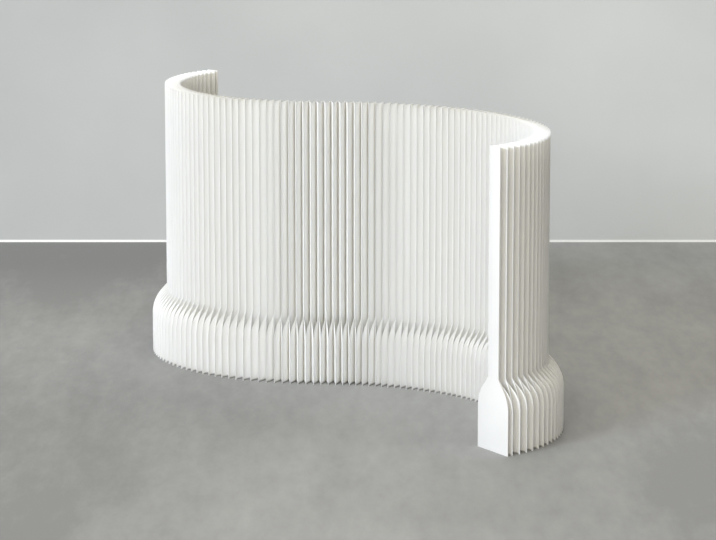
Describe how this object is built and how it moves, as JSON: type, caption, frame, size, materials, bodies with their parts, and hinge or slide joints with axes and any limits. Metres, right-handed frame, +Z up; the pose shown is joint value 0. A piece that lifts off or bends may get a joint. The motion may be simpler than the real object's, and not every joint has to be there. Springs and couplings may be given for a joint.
{
  "type": "pleated paper screen",
  "caption": "Free-standing room divider of white pleated paper leaves standing in a loose S, narrow wall above a flared foot, flexing at every joint and closed by stiff end boards.",
  "frame": {"origin": "On the floor, under the middle leaf of the middle section.", "axes": "+Z up; +X along the straight line from the left end of the screen to its right end; +Y across that line."},
  "size_m": [3.3906, 1.2962, 1.5],
  "materials": {
    "paper_leaf": "matte",
    "end_board": "matte"
  },
  "bodies": {
    "middle_section": {"middle_section": "paper_leaf"},
    "left_section_1": {"left_seam_leaf_1": "paper_leaf", "left_section_1": "paper_leaf"},
    "left_section_2": {"left_seam_leaf_2": "paper_leaf", "left_section_2": "paper_leaf"},
    "left_section_3": {"left_seam_leaf_3": "paper_leaf", "left_section_3": "paper_leaf"},
    "left_section_4": {"left_seam_leaf_4": "paper_leaf", "left_section_4": "paper_leaf"},
    "left_section_5": {"left_seam_leaf_5": "paper_leaf", "left_section_5": "paper_leaf"},
    "left_section_6": {"left_seam_leaf_6": "paper_leaf", "left_section_6": "paper_leaf"},
    "left_section_7": {"left_seam_leaf_7": "paper_leaf", "left_section_7": "paper_leaf"},
    "left_section_8": {"left_seam_leaf_8": "paper_leaf", "left_section_8": "paper_leaf", "left_end_board": "end_board"},
    "right_section_1": {"right_seam_leaf_1": "paper_leaf", "right_section_1": "paper_leaf"},
    "right_section_2": {"right_seam_leaf_2": "paper_leaf", "right_section_2": "paper_leaf"},
    "right_section_3": {"right_seam_leaf_3": "paper_leaf", "right_section_3": "paper_leaf"},
    "right_section_4": {"right_seam_leaf_4": "paper_leaf", "right_section_4": "paper_leaf"},
    "right_section_5": {"right_seam_leaf_5": "paper_leaf", "right_section_5": "paper_leaf"},
    "right_section_6": {"right_seam_leaf_6": "paper_leaf", "right_section_6": "paper_leaf"},
    "right_section_7": {"right_seam_leaf_7": "paper_leaf", "right_section_7": "paper_leaf"},
    "right_section_8": {"right_seam_leaf_8": "paper_leaf", "right_section_8": "paper_leaf", "right_end_board": "end_board"}
  },
  "joints": [
    {"name": "left_seam_1", "type": "hinge", "parent": "middle_section", "child": "left_section_1", "pos_m": [-0.08951, -0.12769, 0.75], "axis": [0, 0, -1], "range_deg": [-10, 10], "deforming": ["left_seam_leaf_1"]},
    {"name": "left_seam_2", "type": "hinge", "parent": "left_section_1", "child": "left_section_2", "pos_m": [-0.22423, -0.31885, 0.75], "axis": [0, 0, -1], "range_deg": [-10, 10], "deforming": ["left_seam_leaf_2"]},
    {"name": "left_seam_3", "type": "hinge", "parent": "left_section_2", "child": "left_section_3", "pos_m": [-0.39569, -0.47695, 0.75], "axis": [0, 0, -1], "range_deg": [-10, 10], "deforming": ["left_seam_leaf_3"]},
    {"name": "left_seam_4", "type": "hinge", "parent": "left_section_3", "child": "left_section_4", "pos_m": [-0.60445, -0.58087, 0.75], "axis": [0, 0, -1], "range_deg": [-10, 10], "deforming": ["left_seam_leaf_4"]},
    {"name": "left_seam_5", "type": "hinge", "parent": "left_section_4", "child": "left_section_5", "pos_m": [-0.83409, -0.62124, 0.75], "axis": [0, 0, -1], "range_deg": [-10, 10], "deforming": ["left_seam_leaf_5"]},
    {"name": "left_seam_6", "type": "hinge", "parent": "left_section_5", "child": "left_section_6", "pos_m": [-1.06544, -0.59276, 0.75], "axis": [0, 0, -1], "range_deg": [-10, 10], "deforming": ["left_seam_leaf_6"]},
    {"name": "left_seam_7", "type": "hinge", "parent": "left_section_6", "child": "left_section_7", "pos_m": [-1.27693, -0.495, 0.75], "axis": [0, 0, -1], "range_deg": [-10, 10], "deforming": ["left_seam_leaf_7"]},
    {"name": "left_seam_8", "type": "hinge", "parent": "left_section_7", "child": "left_section_8", "pos_m": [-1.44496, -0.33384, 0.75], "axis": [0, 0, -1], "range_deg": [-10, 10], "deforming": ["left_seam_leaf_8"]},
    {"name": "right_seam_1", "type": "hinge", "parent": "middle_section", "child": "right_section_1", "pos_m": [0.10461, 0.11557, 0.75], "axis": [0, 0, -1], "range_deg": [-10, 10], "deforming": ["right_seam_leaf_1"]},
    {"name": "right_seam_2", "type": "hinge", "parent": "right_section_1", "child": "right_section_2", "pos_m": [0.28814, 0.26007, 0.75], "axis": [0, 0, -1], "range_deg": [-10, 10], "deforming": ["right_seam_leaf_2"]},
    {"name": "right_seam_3", "type": "hinge", "parent": "right_section_2", "child": "right_section_3", "pos_m": [0.49726, 0.3641, 0.75], "axis": [0, 0, -1], "range_deg": [-10, 10], "deforming": ["right_seam_leaf_3"]},
    {"name": "right_seam_4", "type": "hinge", "parent": "right_section_3", "child": "right_section_4", "pos_m": [0.72366, 0.42135, 0.75], "axis": [0, 0, -1], "range_deg": [-10, 10], "deforming": ["right_seam_leaf_4"]},
    {"name": "right_seam_5", "type": "hinge", "parent": "right_section_4", "child": "right_section_5", "pos_m": [0.95705, 0.42563, 0.75], "axis": [0, 0, -1], "range_deg": [-10, 10], "deforming": ["right_seam_leaf_5"]},
    {"name": "right_seam_6", "type": "hinge", "parent": "right_section_5", "child": "right_section_6", "pos_m": [1.1839, 0.37122, 0.75], "axis": [0, 0, -1], "range_deg": [-10, 10], "deforming": ["right_seam_leaf_6"]},
    {"name": "right_seam_7", "type": "hinge", "parent": "right_section_6", "child": "right_section_7", "pos_m": [1.38565, 0.25456, 0.75], "axis": [0, 0, -1], "range_deg": [-10, 10], "deforming": ["right_seam_leaf_7"]},
    {"name": "right_seam_8", "type": "hinge", "parent": "right_section_7", "child": "right_section_8", "pos_m": [1.53721, 0.07802, 0.75], "axis": [0, 0, -1], "range_deg": [-10, 10], "deforming": ["right_seam_leaf_8"]}
  ]
}
